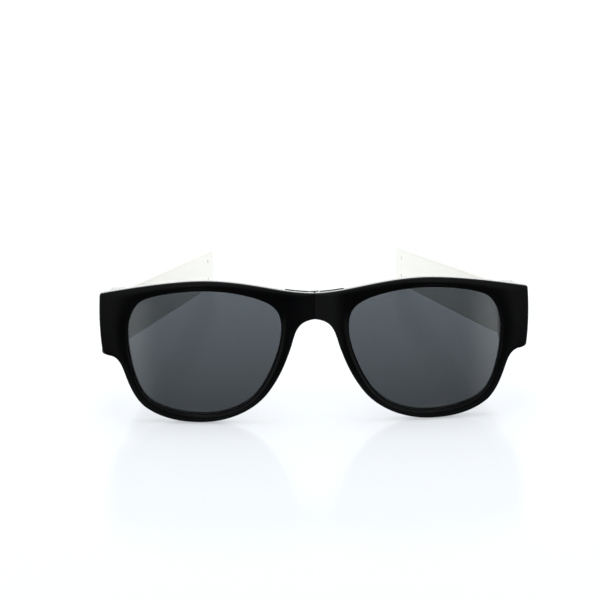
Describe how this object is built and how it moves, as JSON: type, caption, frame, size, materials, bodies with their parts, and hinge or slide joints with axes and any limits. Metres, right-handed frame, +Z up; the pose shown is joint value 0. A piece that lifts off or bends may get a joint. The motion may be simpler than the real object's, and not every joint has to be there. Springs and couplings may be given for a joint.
{
  "type": "folding sunglasses",
  "caption": "Sunglasses whose front folds at a hinge in the bridge, with smoked lenses and flat flexible strip arms clamped in end stubs.",
  "frame": {"origin": "on the surface that the glasses stand on, under the middle of the box round them", "axes": "+Z up, +X across from one arm to the other, the front and lenses face -Y, the arms run towards +Y"},
  "size_m": [0.145, 0.1568, 0.0483],
  "materials": {
    "frame_black": "soft satin black moulding",
    "lens_smoke": "smooth smoked grey",
    "hinge_dark": "black painted steel",
    "pin_steel": "turned",
    "screw_steel": "blackened",
    "sleeve_cream": "matt silicone, creamy white",
    "strip_steel": "rolled spring strip",
    "cover_black": "soft satin black moulding",
    "screw_dark": "blackened",
    "rivet_dark": "dark, dull"
  },
  "bodies": {
    "left_half": {"front_left": "frame_black", "lens_left": "lens_smoke", "hinge_leaf_left": "hinge_dark", "hinge_pin": "pin_steel", "hinge_screws_left": "screw_steel", "arm_sleeve_left": "sleeve_cream", "spring_strip_left": "strip_steel", "stub_cover_left": "cover_black", "cover_screws_left": "screw_dark", "tip_rivets_left": "rivet_dark"},
    "right_half": {"front_right": "frame_black", "lens_right": "lens_smoke", "hinge_leaf_right": "hinge_dark", "hinge_screws_right": "screw_steel", "arm_sleeve_right": "sleeve_cream", "spring_strip_right": "strip_steel", "stub_cover_right": "cover_black", "cover_screws_right": "screw_dark", "tip_rivets_right": "rivet_dark"}
  },
  "joints": [
    {"name": "bridge_fold", "type": "hinge", "parent": "left_half", "child": "right_half", "pos_m": [0, -0.0682, 0.03941], "axis": [0, 0.15, 0.9887], "range_deg": [0, 120], "deforming": ["arm_sleeve_left", "arm_sleeve_right", "spring_strip_left", "spring_strip_right", "tip_rivets_left", "tip_rivets_right"]}
  ]
}
